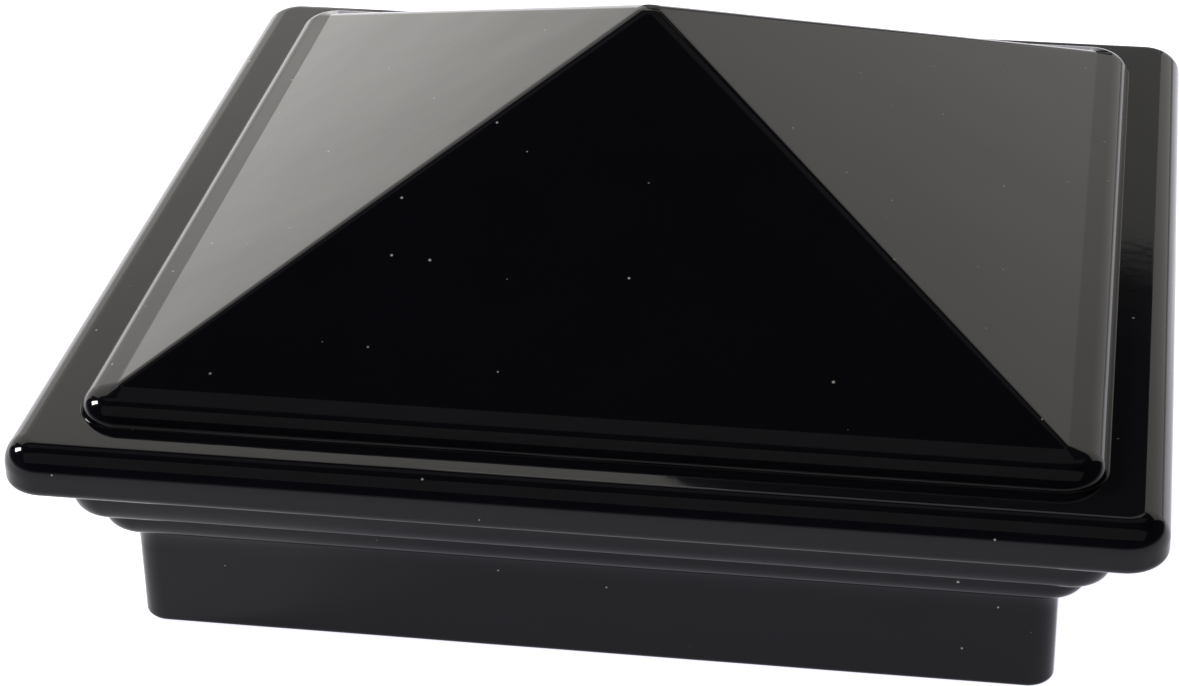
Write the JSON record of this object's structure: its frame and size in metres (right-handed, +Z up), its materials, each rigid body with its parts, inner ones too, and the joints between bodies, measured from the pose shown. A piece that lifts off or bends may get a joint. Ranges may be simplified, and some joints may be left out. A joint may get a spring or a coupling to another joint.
{
  "type": "fence post cap",
  "caption": "Square pyramid fence post cap with a beaded, stepped flange and a slip-over collar held by washered side screws.",
  "frame": {"origin": "under the middle of the flange, at the height of the collar's rim", "axes": "+Z up through the pyramid's point, +X towards the side with screw_right, -Y towards the front"},
  "size_m": [0.123, 0.123, 0.0551],
  "materials": {
    "powder_coat": "gloss",
    "black_steel": "satin",
    "nylon": "satin"
  },
  "bodies": {
    "casting": {"cap_casting": "powder_coat"},
    "left_washer": {"washer_left": "nylon"},
    "left_screw": {"screw_left": "black_steel"},
    "right_washer": {"washer_right": "nylon"},
    "right_screw": {"screw_right": "black_steel"}
  },
  "joints": [
    {"name": "left_drive", "type": "slide", "parent": "casting", "child": "left_washer", "axis": [1, 0, 0], "range_m": [0, 0.0038]},
    {"name": "left_turn", "type": "hinge", "parent": "left_washer", "child": "left_screw", "pos_m": [-0.056, 0, 0.0056], "axis": [1, 0, 0], "range_deg": [0, 970]},
    {"name": "right_drive", "type": "slide", "parent": "casting", "child": "right_washer", "axis": [-1, 0, 0], "range_m": [0, 0.0038]},
    {"name": "right_turn", "type": "hinge", "parent": "right_washer", "child": "right_screw", "pos_m": [0.056, 0, 0.0056], "axis": [-1, 0, 0], "range_deg": [0, 970]}
  ],
  "couplings": [
    {"joint": "left_turn", "follows": "left_drive", "rad_per_m": 4453},
    {"joint": "right_turn", "follows": "right_drive", "rad_per_m": 4453}
  ]
}
